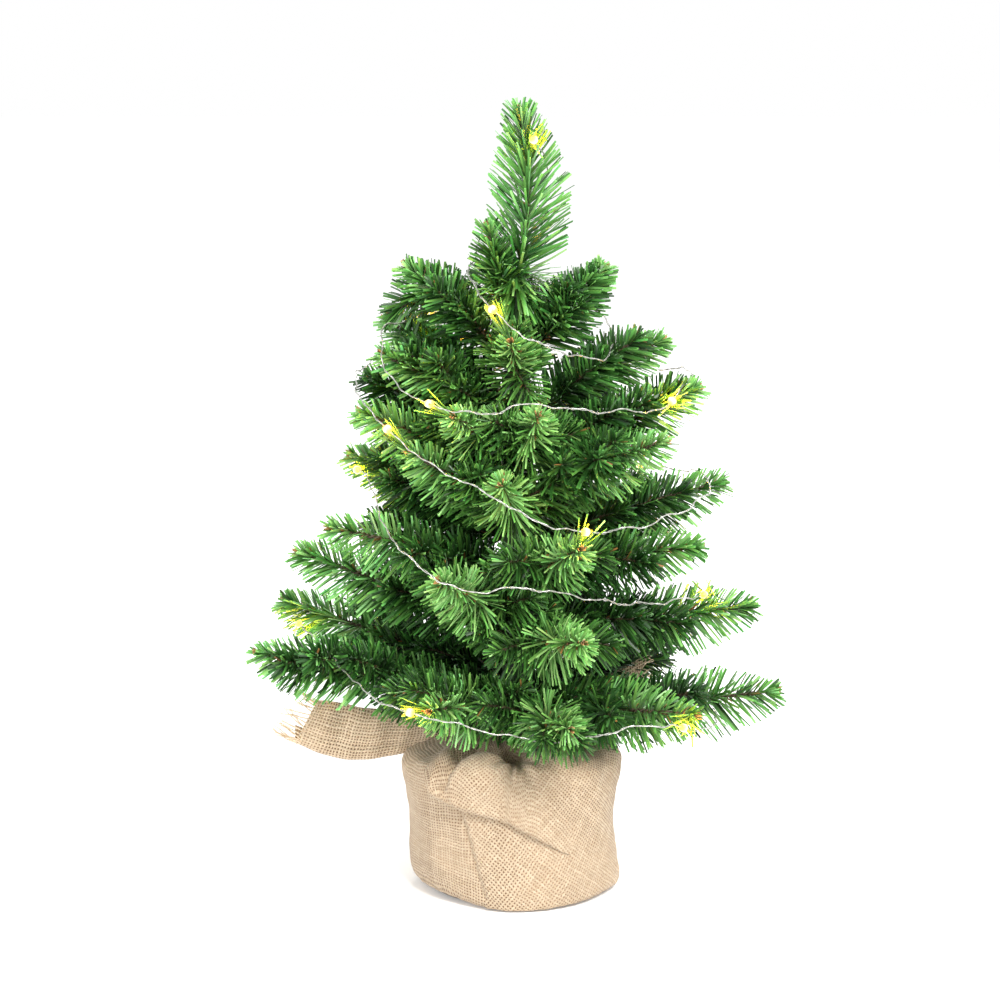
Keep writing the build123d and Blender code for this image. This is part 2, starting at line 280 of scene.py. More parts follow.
def led_material():
    """Clear epoxy drop over a lit warm chip: nearly white at the middle and yellow at the ends."""
    made = Nodes("led_epoxy")
    tint = made.add("ShaderNodeAttribute", attribute_name="tint")
    made.look((0.22, 0.12, 0.02, 1), 0.12)
    made.feed(made.shader, "Emission Color", tint.outputs["Color"])
    made.feed(made.shader, "Emission Strength", 2.1)
    return made.material


def grained_material(name, grain, dark, light, roughness, metallic=0.0, pale_at=0.7, bump=None, fine=None):
    """Colour that wanders between two shades, and relief. grain and fine give the scale and detail of
    the colour's and the relief's noise, bump the relief's strength and depth."""
    made = Nodes(name)
    place = made.place()
    wander = made.noise(*grain, place)
    made.look(made.ramp(wander, (0.3, (*dark, 1)), (pale_at, (*light, 1))), roughness, metallic)
    if bump:
        made.bump(made.noise(*fine, place) if fine else wander, *bump)
    return made.material


def plastic_material(name, colour, roughness, grain_scale=900.0, depth=0.00004, shade=0.12):
    """Moulded plastic with a fine eroded texture and slight mottling."""
    dark, light = ([c * factor for c in colour] for factor in (1 - shade, 1 + shade))
    return grained_material(name, (60.0, 4.0), dark, light, roughness, bump=(0.5, depth),
                            fine=(grain_scale, 3.0))


def metal_material(name, colour, roughness):
    dark = [c * 0.8 for c in colour]
    return grained_material(name, (500.0, 4.0), dark, colour, roughness, metallic=1.0, bump=(0.25, 0.00003))


def tape_material():
    """Floral tape wound round the pole: slanting turns with crinkled edges."""
    made = Nodes("binding_tape")
    place = made.place()
    wave = made.add("ShaderNodeTexWave", wave_type="BANDS", bands_direction="Z", wave_profile="SAW")
    made.feed(wave, "Vector", place)
    made.feed(wave, "Scale", 26.0)
    made.feed(wave, "Distortion", 1.6)
    made.feed(wave, "Detail", 2.0)
    crinkle = made.noise(420.0, 4.0, place)
    shade = made.mix(0.45, wave.outputs["Fac"], crinkle)
    made.look(made.ramp(shade, (0.15, (0.010, 0.022, 0.008, 1)), (0.9, (0.035, 0.075, 0.026, 1))), 0.62)
    made.bump(shade, 0.8, 0.0004)
    return made.material


WEAVE_PITCH = 0.0018
WANDER = 1.1  # width of the band that a thread strays over, in pitches
STRAW_DARK = (0.395, 0.313, 0.220)
STRAW = (0.475, 0.389, 0.288)
STRAW_PALE = (0.57, 0.485, 0.375)


def burlap_material(name="burlap", tone=1.0):
    """Plain-woven jute. The cloth's UV is in metres along its two sets of threads: each thread goes over and
    under, varies in width and tone, and leaves small square holes, which are painted dark with the shade
    inside the bag."""
    made = Nodes(name)
    uv = made.add("ShaderNodeUVMap", uv_map="cloth").outputs[0]
    split_wander = made.add("ShaderNodeSeparateColor")
    made.feed(split_wander, 0, made.noise(95.0, 2.0, uv, "2D", "Color"))
    split = made.add("ShaderNodeSeparateXYZ")
    made.feed(split, 0, uv)
    counts, offsets = [], []
    for axis in (0, 1):
        drift = made.math("MULTIPLY_ADD", split_wander.outputs[axis], WANDER, -WANDER / 2)
        counts.append(made.math("MULTIPLY_ADD", split.outputs[axis], 1 / WEAVE_PITCH, drift))
    cells = [made.math("FLOOR", count) for count in counts]
    for count in counts:
        centred = made.math("MULTIPLY_ADD", made.math("FRACT", count), 2.0, -1.0)
        offsets.append(made.math("ABSOLUTE", centred))
    heights, shades = [], []
    for axis in (0, 1):
        other = 1 - axis
        # a thread has a width and shade of its own, which vary a little along its run
        white = made.add("ShaderNodeTexWhiteNoise", noise_dimensions="2D")
        made.feed(white, "Vector", made.vector(cells[axis], 17.0 * (axis + 1)))
        own = white.outputs[0]
        run = made.vector(made.math("MULTIPLY", cells[axis], 3.7), made.math("MULTIPLY", counts[other], 0.34))
        slub = made.noise(1.0, 2.0, run, "2D")
        half = made.math("MULTIPLY_ADD", own, 0.10, 0.59)
        half = made.math("ADD", half, made.math("MULTIPLY_ADD", slub, 0.26, -0.13))
        across = made.math("DIVIDE", offsets[axis], half)
        round_part = made.math("SUBTRACT", 1.0, made.math("POWER", across, 2.0))
        body = made.math("SQRT", made.math("MAXIMUM", round_part, 0.0))
        parity = made.math("MULTIPLY", made.math("ADD", cells[axis], float(axis)), math.pi)
        swing = made.math("SINE", made.math("MULTIPLY_ADD", counts[other], math.pi, parity))
        rise = made.math("MULTIPLY_ADD", swing, 0.34, 0.66)
        heights.append(made.math("MULTIPLY", body, rise))
        shades.append(made.math("MULTIPLY_ADD", own, 0.26, made.math("MULTIPLY", slub, 0.74)))
    top = made.math("MAXIMUM", heights[0], heights[1])
    over = made.math("GREATER_THAN", heights[0], heights[1])
    shade_mix = made.add("ShaderNodeMix", data_type="FLOAT")
    made.feed(shade_mix, 0, over)
    made.feed(shade_mix, 2, shades[1])
    made.feed(shade_mix, 3, shades[0])
    straws = [tuple(tone * c for c in colour) + (1,) for colour in (STRAW_DARK, STRAW, STRAW_PALE)]
    thread = made.ramp(shade_mix.outputs[0], *zip((0.15, 0.5, 0.85), straws))
    fibre = made.noise(2600.0, 2.0, uv, "2D")
    fuzz = made.ramp(fibre, (0.3, (0.55, 0.40, 0.26, 1)), (0.7, (1.0, 0.9, 0.74, 1)))
    thread = made.mix(0.35, thread, fuzz, "MULTIPLY")
    # painted shade: where the threads dip and in the holes between them the cloth turns dark brown, darker in
    # some places than others
    hole = made.ramp(top, (0.10, (1, 1, 1, 1)), (0.52, (0, 0, 0, 1)))
    depth = made.noise(26.0, 2.0, made.place())
    painted_hole_shade = made.ramp(depth, (0.38, (0.12, 0.062, 0.030, 1)), (0.62, (0.27, 0.175, 0.105, 1)))
    made.look(made.mix(hole, thread, painted_hole_shade), 0.88, specular=0.15)
    made.feed(made.shader, "Sheen Weight", 0.15)
    height = made.math("ADD", top, made.math("MULTIPLY", fibre, 0.12))
    made.bump(height, 0.75, 0.0006)
    return made.material


PVC = needle_material("needles", 0.42)
STEM = needle_material("stem_wire", 0.55)
WIRE = grained_material("silver_wire", (900.0, 3.0), (0.34, 0.34, 0.31), (0.66, 0.66, 0.62), 0.3, 0.9, 0.75)
LED = led_material()
BURLAP = burlap_material()
# painted light: a lighter copy of the burlap for the tails, to offset the shade on their down-turned cloth
BURLAP_PAINTED_LIGHT = burlap_material("burlap_painted_lighter", 1.32)
YARN = grained_material("jute_yarn", (1500.0, 3.0), (0.56, 0.40, 0.25), (0.93, 0.80, 0.62), 0.85,
                        pale_at=0.75, bump=(0.5, 0.0002))
NODE_FINISH = {
    "trunk_pole": plastic_material("pole_paint", (0.022, 0.030, 0.022), 0.35, 300.0),
    "stem_bindings": tape_material(),
    "base_pot": plastic_material("pot_plastic", (0.05, 0.05, 0.052), 0.5),
    "base_weight": plastic_material("weight_cast", (0.42, 0.40, 0.37), 0.9, 500.0, 0.0004, 0.25),
    "burlap_tie": metal_material("tie_wire", (0.45, 0.43, 0.40), 0.35),
    "battery_case": plastic_material("case_plastic", (0.030, 0.034, 0.030), 0.45),
    "battery_cover": plastic_material("cover_plastic", (0.032, 0.036, 0.032), 0.45),
    "switch_slider": plastic_material("switch_plastic", (0.42, 0.42, 0.40), 0.4),
    "battery_cells": plastic_material("cell_sleeve", (0.10, 0.13, 0.16), 0.3, 300.0),
    "contact_springs": metal_material("spring_nickel", (0.75, 0.73, 0.70), 0.2),
    "contact_plates": metal_material("plate_nickel", (0.78, 0.76, 0.72), 0.25),
    "circuit_board": plastic_material("board", (0.02, 0.12, 0.05), 0.4),
    "lead_grommet": plastic_material("grommet_rubber", (0.025, 0.025, 0.025), 0.7),
}
for node_name, finish in NODE_FINISH.items():
    data = nodes[node_name].data
    data.materials.clear()
    data.materials.append(finish)


# ---- needles and sprigs ----
NEEDLE_THICKNESS = 0.00026
TWIG_BEND = 0.001
STEM_WIRE_RADIUS = 0.00075
TWIG_WIRE_RADIUS = 0.0005
STEM_TWIST = 0.0062  # length of one turn of the stem's two wires
BARE_LENGTH = 0.003  # of a stem, at its root
# the greens, from tone 0 to tone 3
FRESH = np.array([[0.010, 0.044, 0.006], [0.044, 0.148, 0.023], [0.110, 0.305, 0.062], [0.205, 0.430, 0.140]])
TONE_SPREAD = 0.8
# painted shade: a sprig's needles are darkened towards the trunk, over the first stretch of its stem
PAINTED_TRUNK_SHADE = 2.5  # tones by which a sprig's needles darken towards the trunk
PAINTED_SHADE_LENGTH = 0.056
# painted shade: side twigs, which fill the inside of the tree, are darker than their sprig
PAINTED_TWIG_SHADE = 1.9  # tones by which a side twig is darker than its sprig
FLECK = np.array([0.20, 0.095, 0.028])
BUD = np.array([0.27, 0.15, 0.058])


def strips(base, heading, side, length, width, sag, colour):
    """Flat needles with blunt ends: closed strips of four rings, with painted shade: darker at the root and
    paler towards the end.
    """
    steps = np.array([0.0, 0.36, 0.70, 1.0])
    wide = np.array([0.80, 1.0, 1.0, 0.86])
    # painted shade: each strip darkens towards its root, among the crowded needles
    fade = np.array([0.50, 0.84, 1.12, 1.36])
    flat = unit(np.cross(heading, side))
    side = unit(np.cross(flat, heading))
    centre = base[:, None] + heading[:, None] * (length[:, None] * steps)[..., None] \
        + sag[:, None] * (steps**2)[None, :, None]
    half = 0.5 * width[:, None] * wide
    across = side[:, None] * half[..., None]
    thick = flat[:, None] * (0.5 * NEEDLE_THICKNESS * np.ones_like(half))[..., None]
    corners = np.stack([centre - across - thick, centre + across - thick,
                        centre + across + thick, centre - across + thick], axis=2)
    verts = corners.reshape(-1, 3)
    tint = np.repeat(colour[:, None] * fade[None, :, None], 4, axis=1).reshape(-1, 3)
    faces = np.vstack([grid_faces(4, 4, closed=True), [(3, 2, 1, 0), (12, 13, 14, 15)]])
    quads = (faces + 16 * np.arange(len(base))[:, None, None]).reshape(-1, 4)
    return verts, quads, tint


def pick_green(count, tone, warmth):
    """Needle colours between the four shades, round a tone, with some warmer or paler ones."""
    level = np.clip(rng.normal(tone, TONE_SPREAD, count), 0, 2.999)
    low = level.astype(int)
    part = (level - low)[:, None]
    colour = FRESH[low] * (1 - part) + FRESH[low + 1] * part
    colour = colour * rng.lognormal(0.0, 0.16, count)[:, None]
    colour[:, 0] *= 1 + warmth + 0.12 * rng.standard_normal(count)
    colour[:, 2] *= 1 - 0.6 * warmth
    return np.clip(colour, 0.004, 0.9)


def ring_of(heading, turn):
    """Unit vectors square to the heading, at the given turns round it."""
    right = level_right(heading)
    return turned_to(right, np.cross(right, heading), turn)


def brush(path, density, reach, lean, tone, warmth, width, droop=0.05, tip_taper=0.042, tuft=14, bud=8,
          steady=2.6, trunk_shade=0.0):
    """Needles all round a stem, in batches: density per metre, reach their length, lean their angle to the
    stem in degrees. path(s) gives points and headings for s from 0 to 1."""
    length = path.length
    count = int(density * length)
    along = np.sort(rng.uniform(BARE_LENGTH / length, 1.0, count))
    spot, heading = path(along)
    rim = np.clip((1 - along) * length / tip_taper, 0, 1)  # 0 at the tip
    turn = np.arange(count) * GOLDEN_ANGLE + rng.normal(0, 0.35, count)
    out = ring_of(heading, turn)
    upward = out[:, 2]
    size = reach * (1.0 - 0.11 * upward) * (0.36 + 0.64 * rim**0.75) * rng.uniform(0.92, 1.05, count)
    angle = np.radians((lean + 3.5 * upward + rng.normal(0, steady, count)) * (0.62 + 0.38 * rim))
    aim = turned_to(heading, out, angle)
    swirl = np.cross(heading, out)
    aim = unit(aim + 0.07 * rng.standard_normal((count, 1)) * swirl)
    side = turned_to(swirl, np.cross(aim, swirl), rng.uniform(0, math.pi, count))
    sag = heading * (0.09 * size * rng.normal(0.5, 0.6, count))[:, None] - UP * (droop * size)[:, None]
    # painted shade: the needles nearest the trunk are darkened, where shade falls inside the tree, least so
    # on the sprigs that point at the front
    shade = trunk_shade * np.clip(1.1 - along * length / PAINTED_SHADE_LENGTH, 0, 1)
    shade = shade * (1 - 0.75 * np.clip(-heading[:, 1], 0, 1))
    widths = width * rng.uniform(0.8, 1.2, count)
    batches = [strips(spot + out * 0.0006, aim, side, size, widths, sag,
                      pick_green(count, tone - shade, warmth))]
    # the forward tuft at the tip
    spot, heading = path(np.full(tuft, 1.0))
    out = ring_of(heading, rng.uniform(0, 2 * math.pi, tuft))
    angle = np.radians(rng.uniform(8, 42, tuft))
    aim = turned_to(heading, out, angle)
    size = reach * rng.uniform(0.30, 0.44, tuft)
    batches.append(strips(spot - heading * 0.004, aim, np.cross(heading, out), size, np.full(tuft, width),
                          np.zeros((tuft, 3)), pick_green(tuft, tone + 0.2, warmth)))
    # brown paper slips twisted in with the needles, and the bud
    flecks = max(3, int(length / 0.0040)) if bud else 3
    fleck_places = np.linspace(0.10, 0.96, flecks) + rng.normal(0, 0.012, flecks)
    along = np.concatenate([fleck_places, np.ones(bud)])
    spot, heading = path(np.clip(along, 0, 1))
    number = len(along)
    out = ring_of(heading, rng.uniform(0, 2 * math.pi, number))
    angle = np.radians(np.concatenate([rng.uniform(30, 70, flecks), rng.uniform(4, 24, bud)]))
    aim = turned_to(heading, out, angle)
    size = np.concatenate([rng.uniform(0.003, 0.0075, flecks), rng.uniform(0.0032, 0.0055, bud)])
    brown = np.where((np.arange(number) < flecks)[:, None], FLECK, BUD)
    brown = brown * rng.uniform(0.55, 1.5, (number, 1))
    batches.append(strips(spot + out * 0.0007, aim, np.cross(heading, out), size,
                          np.full(number, 0.0010), np.zeros((number, 3)), brown))
    return batches


def twisted_stem(path, radius):
    """Two plastic-covered wires twisted together, with the needles clamped between them."""
    length = path.length
    count = max(24, int(length / 0.0011))
    s = np.linspace(0, 0.985, count)
    spot, heading = path(s)
    taper = radius * np.clip((1 - s) * 14, 0.35, 1.0)
    parts = []
    for phase in (0.0, math.pi):
        offset = ring_of(heading, s * length / STEM_TWIST * 2 * math.pi + phase)
        parts.append(tube(spot + offset * taper[:, None] * 1.02, taper, 6))
    return merge(parts)


class Stem:
    """A stem from root to tip that bows a little off the straight line."""

    def __init__(self, root, tip, bow, sway):
        self.root, self.tip = np.asarray(root, float), np.asarray(tip, float)
        self.length = float(np.linalg.norm(self.tip - self.root))
        heading = unit(self.tip - self.root)
        right = level_right(heading)
        self.bend = bow * np.cross(right, heading) + sway * right

    def __call__(self, s):
        s = np.asarray(s, float)[:, None]
        spot = self.root * (1 - s) + self.tip * s + self.bend * np.sin(math.pi * s)
        heading = unit(self.tip - self.root + self.bend * math.pi * np.cos(math.pi * s))
        return spot, heading


def make_sprig(name, body, node, path, density, reach, lean, tone, warmth, twigs=(), extra=(), **more):
    """One sprig: needles, tuft, bud and stem, with its side twigs, as two meshes on one body."""
    batches = brush(path, density, reach, lean, tone, warmth, **more) + list(extra)
    wires = [twisted_stem(path, STEM_WIRE_RADIUS)]
    on_twigs = {**more, "tip_taper": 0.020, "tuft": 9, "bud": 0, "trunk_shade": 0.0}
    for twig in twigs:
        # side twigs carry painted shade: a darker tone than their sprig
        batches += brush(twig, density * 0.95, reach * 0.88, lean - 8, tone - PAINTED_TWIG_SHADE, warmth, **on_twigs)
        wires.append(twisted_stem(twig, TWIG_WIRE_RADIUS))
    verts, quads, tint, base = [], [], [], 0
    for v, f, c in batches:
        verts.append(v)
        quads.append(f + base)
        tint.append(c)
        base += len(v)
    piece = make_piece(name, np.concatenate(verts), np.concatenate(quads), PVC,
                       np.concatenate(tint), smooth=False)
    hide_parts(node)
    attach(piece, body)
    v, f = merge(wires)
    bark = np.array([0.050, 0.036, 0.016]) * rng.uniform(0.6, 1.3, (len(v), 1))
    wire = make_piece(name + "_stem", v, f, STEM, bark)
    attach(wire, body)


def side_twig(path, at, swing, lift, length):
    """A short twig that leaves a stem at a share of its length. Swing turns it level and lift raises it."""
    spot, heading = path(np.array([at]))
    spot, heading = spot[0], heading[0]
    angle = math.radians(swing)
    swung = np.array([heading[0] * math.cos(angle) - heading[1] * math.sin(angle),
                      heading[0] * math.sin(angle) + heading[1] * math.cos(angle), heading[2]])
    away = unit(unit(swung) + UP * math.tan(math.radians(lift)))
    return Stem(spot, spot + away * length, TWIG_BEND, TWIG_BEND)


def furthest(node, root):
    """The corner of a node's mesh that is furthest from its root."""
    mesh = nodes[node].data
    co = np.empty(len(mesh.vertices) * 3, np.float32)
    mesh.vertices.foreach_get("co", co)
    co = co.reshape(-1, 3).astype(float)
    return co[np.argmax(np.linalg.norm(co - root, axis=1))]


# twigs listed where the foliage is fullest: share of the stem, turn, lift and length
MORE_TWIGS = {
    3: [(0.68, -28, -14, 0.026), (0.72, 22, -22, 0.025)],
    4: [(0.50, -34, 4, 0.048), (0.62, -24, 14, 0.036)],
    5: [(0.60, 38, 8, 0.042), (0.42, 34, 12, 0.046), (0.74, 26, -4, 0.030)],
    23: [(0.50, 30, 10, 0.034)],
    25: [(0.45, -28, 12, 0.036)],
    27: [(0.70, 20, 14, 0.024)],
    32: [(0.62, 34, 4, 0.034), (0.78, 26, 2, 0.026)],
    34: [(0.60, 14, 26, 0.022)],
    36: [(0.10, 14, 62, 0.030), (0.12, -16, -58, 0.030), (0.30, 30, -50, 0.026), (0.2, -35, 45, 0.026)],
    38: [(0.25, -50, 20, 0.030)],
    39: [(0.40, -40, 0, 0.030), (0.72, -14, -48, 0.030)],
}
TUFT_LENGTH = 0.008  # a sprig's stem ends this far short of the CAD branch's tip
LEADER_TUFT = 0.0095
LEADER_WIDTH = 0.0013  # of its needles
stems = {}
for number in range(1, 1 + sum(name.startswith("branch_") for name in joints)):
    root = np.array(joints[f"branch_{number:02d}_bend"]["pos_m"], float)
    tip = furthest(f"branch_{number:02d}", root)
    span = float(np.linalg.norm(tip - root))
    facing = max(0.0, -unit(root[:2])[1])  # 1 for a sprig that points at the front
    end = tip - unit(tip - root) * TUFT_LENGTH
    path = Stem(root, end, rng.uniform(-0.0015, 0.0025), rng.uniform(-0.0015, 0.0015))
    stems[f"sprig_{number:02d}"] = path
    side, height = unit(root[:2])[0], (root[2] - 0.10) / 0.25
    # painted light: sprigs are paler on the front and towards the top, and palest high on the right, where
    # the lamps fall on them most
    tone = 1.75 + 0.60 * facing**2 + 0.75 * height + side * (0.45 * height - 0.32)
    spread = 26 + 38 * facing
    twigs = []
    for k in range(4 if span > 0.06 else 2):
        swing = (-1) ** k * (spread + rng.uniform(-6, 10))
        lift = rng.uniform(-12, 14)
        length = min(rng.uniform(0.034, 0.050), 0.46 * span)
        twigs.append(side_twig(path, 0.05 + 0.12 * k, swing, lift, length))
    twigs += [side_twig(path, *twig) for twig in MORE_TWIGS.get(number, [])]
    make_sprig(f"needles_{number:02d}", f"sprig_{number:02d}", f"branch_{number:02d}", path,
               density=3250, reach=0.0222, lean=67.0, tone=tone, warmth=0.10 * facing**3, twigs=twigs,
               width=0.00132 - 0.00038 * facing**2, trunk_shade=PAINTED_TRUNK_SHADE)

leader_root = np.array(joints["leader_bend"]["pos_m"], float)
leader_top = furthest("leader", leader_root)
leader_path = Stem(leader_root, leader_top - UP * LEADER_TUFT, -0.0055, 0.0008)
# a skirt of needles round its foot, over the pole's end
skirt = 420
turn = rng.uniform(0, 2 * math.pi, skirt)
ring = ring_of(np.tile(UP, (skirt, 1)), turn)
drop = np.radians(rng.uniform(60, 165, skirt))
skirt_base = leader_root + UP * rng.uniform(-0.010, 0.008, (skirt, 1)) + ring * 0.001
skirt_needles = strips(skirt_base, turned_to(UP, ring, drop), np.cross(UP, ring),
                       rng.uniform(0.018, 0.030, skirt), np.full(skirt, LEADER_WIDTH),
                       -0.003 * UP * np.ones((skirt, 1)), pick_green(skirt, 1.2, 0.03))
make_sprig("needles_leader", "leader_sprig", "leader", leader_path, density=3500, reach=0.0285, lean=55.0,
           tone=1.6, warmth=-0.05, extra=[skirt_needles], width=LEADER_WIDTH, tip_taper=0.055, droop=0.0,
           steady=2.4)
stems["leader_sprig"] = leader_path


# ---- light string ----
# control points of the light string in millimetres: the part's own, some of them moved in among the needles
STRING_ROUTE = [
    # lead, behind the base
    (-40, 73, 26), (-48, 73, 26), (-60, 77, 34), (-64, 86, 58), (-40, 93, 80),
    (0, 92, 86), (40, 88, 89), (92, 60, 95), (113, 20, 99), (114, -25, 103),
    # across the front, above the base
    (103, -58, 104), (79, -92, 119), (46, -95, 114), (24, -88, 106), (-2, -95, 111.5),
    (-40, -100, 122), (-75, -87, 128),
    # left side and back, on the lowest ring
    (-98, -52, 141), (-115, -14, 150), (-134, 34, 151), (-112, 72, 146), (-90, 96, 138),
    (-50, 118, 140), (-10, 126, 142), (40, 118, 140), (84, 94, 138), (112, 56, 148),
    (116, 26, 166), (98, -18, 171),
    # across the front, on the second ring
    (70, -52, 174), (36, -86, 186), (4, -98, 195), (-32, -104, 191), (-60, -96, 209),
    (-76, -76, 223), (-82, -28, 246),
    # left side and back, on the third ring
    (-96, 12, 239), (-84, 46, 243), (-56, 82, 240), (-14, 102, 239), (26, 98, 235),
    (60, 84, 231), (96, 64, 231), (107, 28, 236), (111, -8, 232), (94, -43, 226),
    (60, -74, 219),
    # across the front, on the fourth ring
    (18, -98, 225), (-18, -92, 245), (-52, -70, 258), (-88, -34, 287),
    # left side and back, on the fifth ring
    (-90, -4, 296), (-84, 20, 299), (-78, 48, 300), (-42, 76, 295), (-4, 90, 292),
    (30, 86, 289), (66, 66, 289), (90, 31, 295), (102, 5, 296.5), (92, -17, 290),
    (80, -26, 277),
    # across the front, on the fifth ring
    (68, -52, 283), (38, -76, 285), (8, -88, 293), (-24, -79, 282), (-70, -46, 294),
    # left side and back, on the sixth ring
    (-85, -22, 324), (-60, -2, 327), (-32, 28, 328), (0, 50, 340), (50, 38, 331),
    (57.5, 6, 318), (58, -28, 305),
    # across the front, under the leader
    (30, -50, 313), (2, -59, 323), (-28, -24, 350),
    # up the leader
    (-23, 2, 364), (-13, 16, 382), (16, 14, 402), (19, 2, 416), (0, -22, 436),
]
LED_RUNS = [6, 10, 15, 18, 22, 24, 27, 35, 38, 41, 46, 49, 53, 56, 60, 65, 68, 70, 75, 80]
LED_BODIES = ["stand", "sprig_02", "sprig_04", "sprig_06", "stand", "stand", "sprig_10", "sprig_23", "stand",
              "sprig_19", "sprig_17", "sprig_24", "stand", "sprig_30", "sprig_27", "sprig_28", "sprig_35",
              "stand", "sprig_36", "leader_sprig"]
# where the wire and its drops are pressed in towards the trunk: first and last point of each stretch,
# counted from 0
PRESSED = [(20, 26), (29, 34), (37, 42), (46, 48), (53, 57), (62, 64), (67, 67), (70, 71), (73, 75)]
PRESS = 8.5  # millimetres, like the next three
PRESS_IN_FRONT = 5.0
LOWER_IN_FRONT = 0.45
FRONT_Y = -40.0
STRAND_RADIUS = 0.00025
PAIR_TWIST = 0.0092  # length of one turn of the pair


def pressed_route():
    """The control points in metres, with the pressed stretches moved inwards, to the half millimetre."""
    points = np.array(STRING_ROUTE)
    for first, last in PRESSED:
        for point in points[first:last + 1]:
            in_front = point[1] < FRONT_Y
            point[:2] -= unit(point[:2]) * (PRESS_IN_FRONT if in_front else PRESS)
            point[2] -= LOWER_IN_FRONT if in_front else 0.0
            point[:] = np.round(point * 2) / 2
    return points / 1000


def spline_line(points, steps):
    """Points along a smooth spline whose control points are given."""
    data = bpy.data.curves.new("route", "CURVE")
    data.dimensions = "3D"
    data.resolution_u = steps
    spline = data.splines.new("NURBS")
    spline.points.add(len(points) - 1)
    for point, place in zip(spline.points, points):
        point.co = (*place, 1.0)
    spline.order_u = 3
    spline.use_endpoint_u = True
    holder = bpy.data.objects.new("route", data)
    mesh = bpy.data.meshes.new_from_object(holder)
    line = np.array([v.co for v in mesh.vertices], float)
    bpy.data.objects.remove(holder)
    bpy.data.curves.remove(data)
    bpy.data.meshes.remove(mesh)
    return line


def distance_along(line):
    return np.concatenate([[0.0], np.cumsum(np.linalg.norm(np.diff(line, axis=0), axis=1))])


route = pressed_route()
line = spline_line(route, 40)
travel = distance_along(line)
led_spots = np.array([(route[k] + route[k + 1]) / 2 for k in LED_RUNS])
led_heads = np.array([unit(route[k + 1] - route[k]) for k in LED_RUNS])
led_index = [int(np.argmin(np.linalg.norm(line - spot, axis=1))) for spot in led_spots]
led_travel = travel[led_index]

# the pair's small kinks, where it was unwound from its card and pressed into the needles
kink = np.zeros_like(line)
for wave, size in ((0.031, 0.00085), (0.0137, 0.00034)):
    phase = np.cumsum(rng.normal(0, 0.03, (len(line), 3)), axis=0) + rng.uniform(0, 6, 3)
    kink += size * np.sin(2 * math.pi * travel[:, None] / wave + phase)
kink[0] = kink[-1] = 0
near_led = np.min(np.abs(travel[:, None] - led_travel[None]), axis=1)
kink *= np.clip((near_led - 0.002) / 0.01, 0, 1)[:, None] * np.clip(travel / 0.02, 0, 1)[:, None]
line = line + kink
turning = travel / PAIR_TWIST * 2 * math.pi + np.cumsum(rng.normal(0, 0.05, len(line)))
line_side, line_lift = frames_along(line)
strand_gap = 0.00028 + 0.00010 * np.sin(travel / 0.013 + 1.5 * np.sin(travel / 0.031))


def wire_piece(name, first, last, ride_on):
    """The stretch of the twisted pair between two points of the line."""
    pick = slice(first, last + 1)
    parts = []
    for phase in (0.0, math.pi):
        offset = turned_to(line_side[pick], line_lift[pick], turning[pick] + phase)
        parts.append(tube(line[pick] + offset * strand_gap[pick][:, None], STRAND_RADIUS))
    verts, faces = merge(parts)
    piece = make_piece(name, verts, faces, WIRE)
    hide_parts("light_string_wire")
    if isinstance(ride_on, str):
        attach(piece, ride_on)
    else:
        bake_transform(piece)


def middle_index(a, b):
    """The point of the line halfway along it between two drops."""
    return int(np.argmin(np.abs(travel - (led_travel[a] + led_travel[b]) / 2)))


stretches = []
begin, last_led = 0, len(LED_RUNS) - 1
for i, body in enumerate(LED_BODIES):
    if body == "stand":
        continue
    before = middle_index(i - 1, i)
    if before > begin:
        stretches.append((begin, before, "stand"))
    stretches.append((before, led_index[i], ("stand", body)))
    if i == last_led:
        break
    after = middle_index(i, i + 1)
    stretches.append((led_index[i], after, (body, "stand")))
    begin = after
for number, (first, last, ride_on) in enumerate(stretches, 1):
    wire_piece(f"string_wire_{number:02d}", first, last, ride_on)

DROP_SIDES = 18
DROP_RADIUS = 0.0022
YELLOW = np.array([1.0, 0.62, 0.05])
WARM_WHITE = np.array([1.0, 0.92, 0.58])
PAINTED_NEEDLE_GLOW = np.array([0.50, 0.25, 0.03])
HOLDING = 12  # needles that reach past a drop
GLOW_COLOUR = (1.0, 0.50, 0.04)
GLOW_WATTS = 0.05


def holding_needles(stem, spot):
    """Needles of a sprig that reach past a drop and hold it, with the drop's light painted on them."""
    share = np.linspace(0.02, 1, 60)
    stem_spots, _ = stem(share)
    nearest = share[np.argmin(np.linalg.norm(stem_spots - spot, axis=1))]
    roots, _ = stem(np.clip(nearest + rng.normal(-0.08, 0.12, HOLDING), 0.02, 0.99))
    offset = unit(rng.standard_normal((HOLDING, 3)))
    offset[:, 1] = np.abs(offset[:, 1]) * (1 if spot[1] < 0.02 else -1)
    offset *= rng.uniform(0.0030, 0.0080, (HOLDING, 1))
    aim = spot + offset - roots
    length = np.minimum(np.linalg.norm(aim, axis=1) + rng.uniform(0.003, 0.009, HOLDING), 0.026)
    aim = unit(aim)
    verts, quads, tint = strips(roots, aim, unit(np.cross(aim, offset)), length, np.full(HOLDING, 0.0010),
                                np.zeros((HOLDING, 3)), pick_green(HOLDING, 1.6, 0.0))
    # painted light: the needles nearest the drop are tinted with its warm glow
    lit = 0.62 * hill(np.linalg.norm(verts - spot, axis=1), 0.0044)[:, None]
    return verts, quads, tint * (1 - lit) + lit * PAINTED_NEEDLE_GLOW * (tint[:, 1:2] / 0.25)


